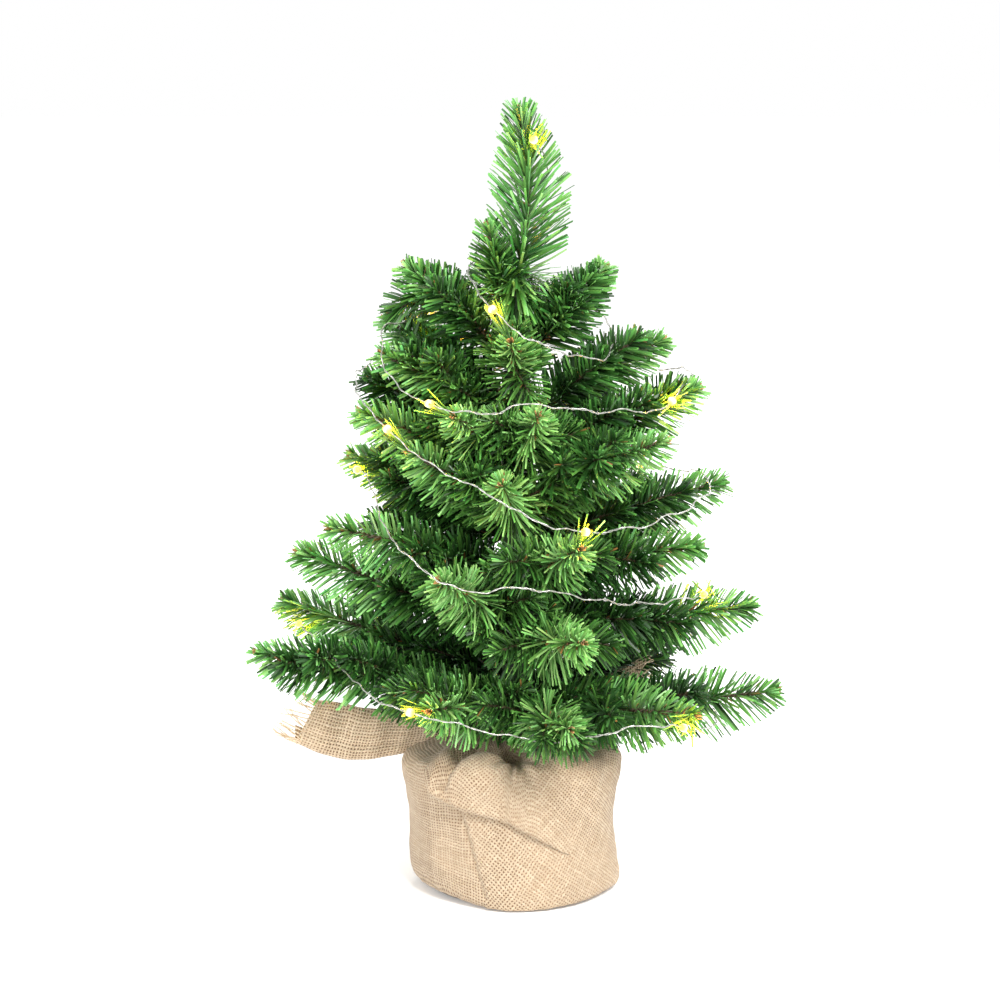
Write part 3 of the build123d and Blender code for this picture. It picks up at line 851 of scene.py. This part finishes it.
for number, (spot, heading, body) in enumerate(zip(led_spots, led_heads, LED_BODIES), 1):
    along = np.linspace(-0.0027, 0.0027, 15)
    swell = DROP_RADIUS * np.sqrt(np.clip(1 - (along / 0.00275) ** 2, 0.03, 1)) + 0.0001
    swell = swell * (1 + 0.05 * np.sin(along * 2100 + number))
    verts, faces = tube(spot + heading * along[:, None], swell, DROP_SIDES)
    verts = verts + 0.00012 * np.sin(verts[:, [1, 2, 0]] * 2300 + number)
    lit = hill(np.repeat(along, DROP_SIDES), 0.0015)[:, None]
    warm = YELLOW * (1 - lit) + WARM_WHITE * lit
    bead = make_piece(f"led_drop_{number:02d}", verts, faces, LED, warm)
    bead.visible_shadow = False
    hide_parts("light_string_leds")
    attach(bead, body)
    data = bpy.data.lights.new(f"led_glow_{number:02d}", "POINT")
    data.energy = GLOW_WATTS
    data.color = GLOW_COLOUR
    data.shadow_soft_size = 0.0018
    glow = bpy.data.objects.new(data.name, data)
    scene.collection.objects.link(glow)
    glow.location = spot
    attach(glow, body)
    if body in stems:
        verts, quads, tint = holding_needles(stems[body], spot)
        holding = make_piece(f"needles_led_{number:02d}", verts, quads, PVC, tint, smooth=False)
        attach(holding, body)


# ---- burlap ----
def curve_through(places, values, x):
    """Smooth curve through values at places, eased between them."""
    places, values, x = np.asarray(places, float), np.asarray(values, float), np.asarray(x, float)
    slope = np.gradient(values, places)
    i = np.clip(np.searchsorted(places, x) - 1, 0, len(places) - 2)
    step = places[i + 1] - places[i]
    t = np.clip((x - places[i]) / step, 0, 1)
    return hermite(values[i], values[i + 1], slope[i], slope[i + 1], step, t)


def to_line(x, h, points):
    """Distance of (x, h) to a polyline, and how far along it the nearest point is, 0 to 1."""
    best, where = np.full(np.shape(x), 1e9), np.zeros(np.shape(x))
    points = np.asarray(points, float)
    total = np.sum(np.linalg.norm(np.diff(points, axis=0), axis=1))
    gone = 0.0
    for a, b in zip(points[:-1], points[1:]):
        d = b - a
        size = np.linalg.norm(d)
        t = np.clip(((x - a[0]) * d[0] + (h - a[1]) * d[1]) / size**2, 0, 1)
        away = np.hypot(x - a[0] - t * d[0], h - a[1] - t * d[1])
        closer = away < best
        best = np.where(closer, away, best)
        where = np.where(closer, (gone + t * size) / total, where)
        gone += size
    return best, where


# outline of the bag in millimetres: at each azimuth, radius at the foot, waist and shoulder, how high the
# foot's edge is rounded, and the height of the shoulder's edge
BAG = [
    # azimuth, foot, waist, shoulder, rounding, shoulder height
    (-180, 60.0, 60.5, 64.5, 12.0, 70.0),
    (-140, 57.5, 59.0, 62.0, 13.0, 71.0),
    (-118, 56.0, 57.5, 57.0, 8.0, 74.0),
    (-95, 56.5, 57.0, 56.0, 3.0, 76.0),
    (-75, 56.5, 56.5, 56.0, 3.0, 76.0),
    (-40, 58.0, 56.5, 58.5, 6.5, 74.0),
    (0, 60.0, 56.5, 60.5, 7.0, 75.0),
    (45, 57.5, 57.5, 59.0, 5.0, 73.0),
    (90, 56.5, 56.0, 56.0, 4.0, 72.0),
    (140, 58.0, 58.5, 60.0, 7.0, 72.0),
    (180, 60.0, 60.5, 64.5, 12.0, 70.0),
]
GATHER = (-0.5, 79.0)  # where the front is tucked in, as seen from the front: x and height in view
CREASE = [(-34.0, 58.0), (-31.0, 47.0), (-27.5, 36.0), (-24.5, 24.0), (-20.5, 9.0), (-17.0, -2.0)]
CRESCENT = [(-5.0, 80.0), (-13.0, 81.5), (-23.0, 80.0), (-31.5, 74.5), (-36.5, 67.0), (-37.5, 61.0)]
ROLL = [(-8.0, 89.5), (-24.0, 86.5), (-35.5, 79.0), (-41.5, 69.5), (-41.0, 60.0), (-33.0, 53.5)]
SHOULDER_FOLD = [(-55.0, 74.0), (-47.0, 66.0), (-42.0, 56.0)]
SEEN_UP, SEEN_BACK = 0.983, 0.182  # how much height, and depth, add to the height in view


def seen_height(points):
    """Heights in view, from the front and a little above."""
    return points[..., 2] * SEEN_UP + points[..., 1] * SEEN_BACK


def crease_x(height):
    """Where the crease is at a height in view."""
    return np.interp(-height, [-p[1] for p in CREASE], [p[0] for p in CREASE])


def bag_point(azimuth, climb):
    """Point of the bag's own shape in mm, before its folds. climb runs 0 at the foot's middle, 1 at the
    foot's edge, 2 at the waist, 3 at the shoulder, 4 on top, 5 at the neck and 6 at the frill."""
    table = np.array(BAG, float)
    foot, waist, shoulder, rounding, high = (curve_through(table[:, 0], column, azimuth)
                                             for column in table[:, 1:].T)
    rise = hill(azimuth + 90.0, 45.0)
    profile = [
        # climb, radius, height
        (0.0, 18.0, 0.35),
        (0.6, foot - 1.25 * rounding - 4, 0.35),
        (0.85, foot - rounding * 0.9, 0.5 + 0.06 * rounding),
        (1.0, foot - rounding * 0.32, 0.32 * rounding),
        (1.25, foot, rounding),
        (2.0, waist, 40.0),
        (3.0, shoulder, high),
        (3.35, shoulder - 2.6, high + 6.5),
        (3.7, shoulder - 9.5, high + 10.5),
        (4.3, 0.46 * shoulder + 6, 86.5 + 3.5 * rise),
        (5.0, 18.0, 89.5 + 1.5 * rise),
        (5.45, 15.9, 93.0),
        (6.0, 19.5, 99.0),
    ]
    stages, radii, heights = (np.array([np.broadcast_to(value, azimuth.shape) for value in values])
                              for values in zip(*profile))
    stages = stages[:, 0]
    last = len(stages) - 1
    own = np.arange(len(azimuth))
    i = np.clip(np.searchsorted(stages, climb) - 1, 0, last - 1)
    before, after = np.maximum(i - 1, 0), np.minimum(i + 2, last)
    step = stages[i + 1] - stages[i]
    t = np.clip((climb - stages[i]) / step, 0, 1)

    def smooth(values):
        a, b = values[i, own], values[i + 1, own]
        slope_a = (b - values[before, own]) / (stages[i + 1] - stages[before])
        slope_b = (values[after, own] - a) / (stages[after] - stages[i])
        return hermite(a, b, slope_a, slope_b, step, t)

    radius = smooth(radii)
    angle = np.radians(azimuth)
    return np.stack([radius * np.cos(angle), radius * np.sin(angle), smooth(heights)], axis=-1)


def bag_surface(azimuth, climb, proud=0.0):
    """Points of the folded bag in mm: its own shape, then folds, creases and the gather in front. proud is
    how far they stand off it."""
    azimuth, climb = np.broadcast_arrays(np.asarray(azimuth, float), np.asarray(climb, float))
    shape = azimuth.shape
    azimuth, climb = azimuth.ravel(), climb.ravel()
    spot = bag_point(azimuth, climb)
    above, below = (bag_point(azimuth, np.clip(climb + step, 0.0, 6.0)) for step in (0.01, -0.01))
    along = above - below
    angle = np.radians(azimuth)
    round_it = np.stack([-np.sin(angle), np.cos(angle), 0 * angle], axis=-1)
    normal = unit(np.cross(round_it, along))
    x = spot[:, 0]
    h = seen_height(spot)
    front = ease(-spot[:, 1], 5.0, 25.0) * ease(climb, 0.6, 1.1)
    high = ease(climb, 2.2, 3.4)
    top = ease(climb, 3.3, 4.8)
    fold = np.zeros_like(x)
    # pleats that run down from the neck, deeper at the back than on the smooth front
    calm = 1 - 0.75 * front
    for count, phase, size in ((7, 0.6, 1.5), (11, 2.1, 1.1), (17, 4.0, 0.6)):
        sway = phase + 0.5 * np.sin(angle * 2 + phase)
        fold += size * calm * (0.25 + 0.75 * high) * np.cos(count * angle + sway + 0.25 * climb)
    fold += 0.9 * top * ease(climb, 4.2, 5.0) * np.cos(22 * angle + 1.3 * np.sin(3 * angle))
    # slack in the cloth round the foot
    fold += 0.55 * ease(climb, 1.0, 1.5) * (1 - high) * np.cos(9 * angle + 1.1 + 1.5 * climb)
    # the crease below the flap: a fold line with the cloth on its right lying higher
    away, where = to_line(x, h, CREASE)
    right = np.sign(x - crease_x(h))
    fold += front * (1.5 * ease(away * right, -0.4, 1.6) * hill(away, 11.0) - 1.5 * hill(away, 1.5)) \
        * ease(-h, -60.0, -50.0) * (1 - 0.5 * where)
    away, _ = to_line(x, h, SHOULDER_FOLD)
    fold += front * 1.6 * hill(away, 4.0)
    # the gather: a deep tuck with short pleats that fan out of it
    dx, dh = x - GATHER[0], (h - GATHER[1]) * 1.35
    away = np.hypot(dx, dh)
    fan = np.arctan2(dh, dx)
    below = np.hypot(dx + 0.25 * dh, (h - GATHER[1] + 7.0) * 0.9)
    fold += front * (-4.5 * hill(below, 11.5)
                     + 1.0 * hill(away - 12, 8.0) * np.cos(9 * fan + 0.8) * ease(away, 3.0, 8.0))
    fold += front * 0.8 * np.cos(dx * 1.5) * hill(dx, 6.0) * ease(75.0 - h, 0.0, 4.0) * ease(h, 60.0, 70.0)
    tuck = front * 13.0 * hill(np.hypot(dx + 0.5 * (h - GATHER[1]), 1.3 * (h - GATHER[1])), 5.4)
    # the crescent-shaped groove that runs left from the gather round the lobe of the flap
    away, where = to_line(x, h, CRESCENT)
    fold += front * (-8.0 * hill(away, 2.5) * (1 - 0.5 * where))
    away, _ = to_line(x, h, ROLL)
    fold += front * 3.0 * hill(away, 3.6)
    lobe = hill(np.hypot((x + 25) / 1.6, h - 64), 10.5)
    fold += front * 5.0 * lobe
    fold += 0.22 * np.sin(x * 0.55 + 1.3) * np.sin(h * 0.47 + spot[:, 1] * 0.31)
    fold *= ease(climb, 0.55, 1.0)
    made = spot + normal * (fold + np.ravel(np.broadcast_to(proud, shape)))[:, None]
    made += tuck[:, None] * np.array([0.0, 0.85, -0.5])
    made[:, 2] = np.maximum(made[:, 2], 0.3)
    return made.reshape(*shape, 3)


def turned(uv, degrees):
    """Places on the cloth, turned so that its threads run aslant."""
    c, s = math.cos(math.radians(degrees)), math.sin(math.radians(degrees))
    u, v = uv[..., 0], uv[..., 1]
    return np.stack([u * c - v * s, u * s + v * c], axis=-1)


BAG_RADIUS = 0.059  # in metres, for the spacing of its threads


def make_wrap():
    columns = 420
    climb = np.concatenate([np.linspace(0, 1, 18), np.linspace(1, 3, 76)[1:], np.linspace(3, 6, 58)[1:]])
    azimuth = np.linspace(-180, 180, columns, endpoint=False)
    grid = bag_surface(azimuth[None, :], climb[:, None])
    verts = grid.reshape(-1, 3) / 1000
    faces = grid_faces(len(climb), columns, closed=True)
    # threads run level and upright round the left and back, and aslant on the cloth right of the crease
    step = np.linalg.norm(np.diff(grid, axis=0), axis=-1).mean(axis=1)
    rise = np.concatenate([[0.0], np.cumsum(step)]) / 1000
    row, column = faces // columns, faces % columns
    past_seam = column < column[:, :1]
    round_bag = np.radians(azimuth)[column] + past_seam * 2 * math.pi
    level = np.stack([round_bag * BAG_RADIUS, rise[row]], axis=-1)
    centre = verts[faces].mean(axis=1) * 1000
    aslant = (centre[:, 0] > crease_x(seen_height(centre))) & (centre[:, 1] < 40)
    uv = np.where(aslant[:, None, None], turned(level, 37), level)
    piece = make_piece("burlap_bag", verts, faces, BURLAP, uv=uv)
    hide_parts("burlap_wrap")
    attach(piece, "stand")
    return piece


# lower edge of the flap: azimuth and how far it climbs
FLAP_EDGE = [
    (-145, 3.55), (-141.5, 3.25), (-138.5, 3.02), (-135.5, 2.84), (-131, 2.68), (-125, 2.57), (-117, 2.49),
    (-108, 2.42), (-98, 2.34), (-89, 2.22), (-80, 2.08), (-72, 1.97), (-64, 1.86), (-56, 1.78), (-40, 1.72),
]


def make_flap():
    """The loose corner of the cloth, drawn over the front from the gather, with its edge turned under."""
    azimuth = np.linspace(-145, -40, 260)
    low = curve_through(*zip(*FLAP_EDGE), azimuth)
    # distance up from the edge, and how far the cloth stands off the bag, row by row
    rows = 110
    t = np.concatenate([[-3, -2, -1, 0, 1, 2, 3], np.linspace(4, rows, rows - 3)])
    lift_rows = [-3, -2, -1, 0, 1, 2, 4, 9, 30, rows]
    lift = np.interp(t, lift_rows, [0.2, 0.3, 0.6, 1.7, 3.0, 3.7, 4.1, 3.6, 2.4, 1.5])
    climb_off = np.interp(t, [-3, -2, -1, 0, 1, 2], [0.12, 0.070, 0.024, 0.0, 0.010, 0.036])
    above = np.clip((t - 2) / (rows - 2), 0, 1)
    climb = low[None, :] + climb_off[:, None] + above[:, None] * (5.0 - low[None, :] - 0.03)
    fade = ease(-azimuth, 54.0, 84.0) * ease(azimuth, -145.0, -138.0)
    standing = lift[:, None] * fade[None, :] - 1.1 * (1 - ease(-azimuth, 42.0, 66.0))[None, :]
    standing = standing - 0.9 * (1 - ease(azimuth, -145.0, -140.5))[None, :]
    grid = bag_surface(azimuth[None, :], climb, standing + 0.25)
    verts = grid.reshape(-1, 3) / 1000
    faces = grid_faces(len(t), len(azimuth))
    # threads keep their spacing over the folds: distances are measured on the cloth itself
    up = np.linalg.norm(np.diff(grid, axis=0), axis=-1)
    v = -np.cumsum(np.vstack([np.zeros(len(azimuth)), up])[::-1], axis=0)[::-1] / 1000
    over = np.linalg.norm(np.diff(grid, axis=1), axis=-1)
    u = np.hstack([np.zeros((len(t), 1)), np.cumsum(over, axis=1)]) / 1000
    middle = 136  # the column the threads are lined up on
    u = u - u[:, middle:middle + 1]
    last = int(np.argmax(climb[:, middle] > 3.4))
    u[last:] = u[last]
    uv = turned(np.stack([u, v], axis=-1).reshape(-1, 2)[faces], 40)
    piece = make_piece("burlap_flap", verts, faces, BURLAP, uv=uv)
    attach(piece, "stand")
    return piece


def ribbon(name, cloth):
    """A strip of cloth: cloth(s, t) gives its points, s along the strip and t across it, 0 to 1."""
    columns, rows = 120, 44
    s, t = np.meshgrid(np.linspace(0, 1, columns), np.linspace(0, 1, rows))
    grid = cloth(s, t)
    faces = grid_faces(rows, columns)
    run = distance_along(grid[rows // 3]) / 1000
    width = distance_along(grid[:, columns // 2]) / 1000
    uv = np.stack([run[faces % columns], width[faces // columns]], axis=-1)
    # the tails' cloth is the burlap with painted light, lighter than the bag
    piece = make_piece(name, grid.reshape(-1, 3) / 1000, faces, BURLAP_PAINTED_LIGHT, uv=uv)
    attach(piece, "stand")
    return piece, grid


LEFT_TAIL = [
    # share of the length, x, height of the upper edge, x and height of the lower fold
    (0.00, -15.0, 97.0, -15.0, 88.0),
    (0.14, -31.0, 98.0, -33.0, 82.5),
    (0.30, -48.0, 98.5, -52.0, 77.5),
    (0.45, -63.0, 99.5, -70.0, 73.5),
    (0.60, -78.0, 101.0, -86.0, 71.0),
    (0.75, -92.0, 102.5, -101.0, 71.5),
    (0.88, -104.0, 104.5, -115.0, 75.5),
    (1.00, -114.0, 106.0, -127.0, 81.0),
]


def left_cloth(s, t):
    """C-shaped section: the woven upper part leans back, the lower part is rolled under and behind."""
    share, *edges = np.array(LEFT_TAIL).T
    x_top, z_top, x_low, z_low = (curve_through(share, edge, s) for edge in edges)
    down = np.clip(t / 0.70, 0, 1)
    back = np.clip((t - 0.70) / 0.30, 0, 1)
    ease_down = down - 0.10 * np.sin(2 * math.pi * down)
    x = x_top * (1 - ease_down) + x_low * ease_down
    z = z_top * (1 - ease_down) + z_low * ease_down
    depth = np.interp(s, [0, 0.2, 0.6, 1.0], [3.0, 6.5, 8.5, 7.0])
    y = 8.5 - depth * np.sin(math.pi * (0.08 + 0.80 * down)) * (0.65 + 0.35 * down)
    y = y + back * depth * 0.9
    z = z + 9.0 * back**1.4
    fold = 1.1 * hill(down - 0.62, 0.05) * ease(s, 0.15, 0.4)
    ripple = 0.7 * np.sin(s * 21 + 4 * t) * np.sin(math.pi * np.clip(down, 0.1, 1))
    ripple = ripple + 0.4 * np.sin(s * 43 + 2.0)
    y = y + fold - ripple * ease(s, 0.0, 0.2)
    z = z + 0.5 * np.sin(s * 15 + 1.0) * (1 - down)
    return np.stack([x, y, z], axis=-1)


RIGHT_AZIMUTH = math.radians(28)


def right_cloth(s, t):
    """Curved section, its lower edge curled under and behind, on a middle line that rises outwards."""
    r = 17 + 67 * s
    middle = np.stack([r * math.cos(RIGHT_AZIMUTH) + np.sin(3 * s), r * math.sin(RIGHT_AZIMUTH),
                       94.0 + 17 * s - 2.0 * np.sin(math.pi * s)], axis=-1)
    half = np.interp(s, [0, 0.15, 0.4, 0.8, 1.0], [5.0, 9.0, 13.0, 15.0, 15.0])
    turn = np.interp(t, [0, 0.12, 0.62, 0.8, 1.0], [62, 44, -24, -80, -170])
    angle = np.radians(turn)
    ripple = 0.8 * np.sin(s * 17 + 2 * t) * np.sin(math.pi * t)
    y = -(0.5 * half * np.cos(angle)) + 3.0 - ripple
    z = half * np.sin(angle)
    return middle + np.stack([0 * y, y, z], axis=-1)


def fringe(name, rows, count, length, spread, heading):
    """Frayed end: yarns pulled out of the weave, two from each place."""
    parts = []
    rows = np.asarray(rows)
    for i in range(count):
        place = (i + 0.5) / count * (len(rows) - 1)
        k = int(place)
        start = rows[k] + (rows[min(k + 1, len(rows) - 1)] - rows[k]) * (place - k)
        size = length * rng.uniform(0.65, 1.0)
        lean = unit(np.asarray(heading) + spread * rng.standard_normal(3))
        curl = rng.normal(0, 0.14, 3) * size
        for _ in range(2):
            s = np.linspace(-0.12, 1, 9)[:, None]
            drift = rng.normal(0, 0.05, 3) * size
            wave = 0.35 * np.sin(s * rng.uniform(5, 9) + rng.uniform(0, 6, 3))
            points = start + lean * size * s + curl * s**2 + drift * s + wave * np.clip(s, 0, 1)
            parts.append(tube(points / 1000, np.linspace(0.00048, 0.00022, 9), 5))
    verts, faces = merge(parts)
    piece = make_piece(name, verts, faces, YARN)
    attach(piece, "stand")
    return piece


bag = make_wrap()
flap = make_flap()
left_tail, left_grid = ribbon("burlap_tail_left_cloth", left_cloth)
right_tail, right_grid = ribbon("burlap_tail_right_cloth", right_cloth)
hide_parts("burlap_tail_left")
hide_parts("burlap_tail_right")
left_fringe = fringe("fringe_left", left_grid[:31, -1], 17, 15.5, 0.13, (-0.88, 0.0, 0.42))
right_fringe = fringe("fringe_right", right_grid[:34, -1], 12, 7.0, 0.16, (0.88, 0.47, 0.15))


# ---- studio ----
FLOOR_Z = -0.0004  # just under the base
LIT_SPOT = np.array([0, 0, 0.2])  # what the lamps point at


def studio():
    world = bpy.data.worlds.new("studio")
    world.use_nodes = True
    sky = world.node_tree.nodes["Background"]
    sky.inputs[0].default_value = (1.0, 1.0, 1.0, 1)
    sky.inputs[1].default_value = 1.0
    scene.world = world
    made = Nodes("floor")
    haze = made.noise(3.0, 2.0, made.place())
    made.look(made.ramp(haze, (0.0, (0.86, 0.86, 0.86, 1)), (1.0, (0.90, 0.90, 0.90, 1))), 0.9, specular=0.1)
    made.feed(made.shader, "Emission Color", (1, 1, 1, 1))
    made.feed(made.shader, "Emission Strength", 0.12)
    corners = [(x, y, FLOOR_Z) for x, y in ((-6, -4), (6, -4), (6, 9), (-6, 9))]
    mesh = bpy.data.meshes.new("floor")
    mesh.from_pydata(corners, [], [(0, 1, 2, 3)])
    mesh.materials.append(made.material)
    floor = bpy.data.objects.new("floor", mesh)
    scene.collection.objects.link(floor)
    for name, spot, size, power, colour in (
        ("key", (0.9, -1.8, 1.9), 1.0, 92.0, (1.0, 0.99, 0.975)),
        ("fill", (-1.8, -1.4, 0.9), 1.2, 26.0, (0.97, 0.985, 1.0)),
        ("back", (0.5, 1.7, 1.5), 1.0, 24.0, (1.0, 1.0, 1.0)),
    ):
        data = bpy.data.lights.new(name, "AREA")
        data.energy = power
        data.size = size
        data.color = colour
        lamp = bpy.data.objects.new(name, data)
        scene.collection.objects.link(lamp)
        lamp.location = spot
        toward = unit(LIT_SPOT - np.array(spot))
        yaw = math.atan2(toward[0], -toward[1])
        lamp.rotation_euler = (math.acos(np.clip(-toward[2], -1, 1)), 0.0, yaw + math.pi)
    scene.view_settings.view_transform = "Standard"
    scene.view_settings.look = "None"


studio()
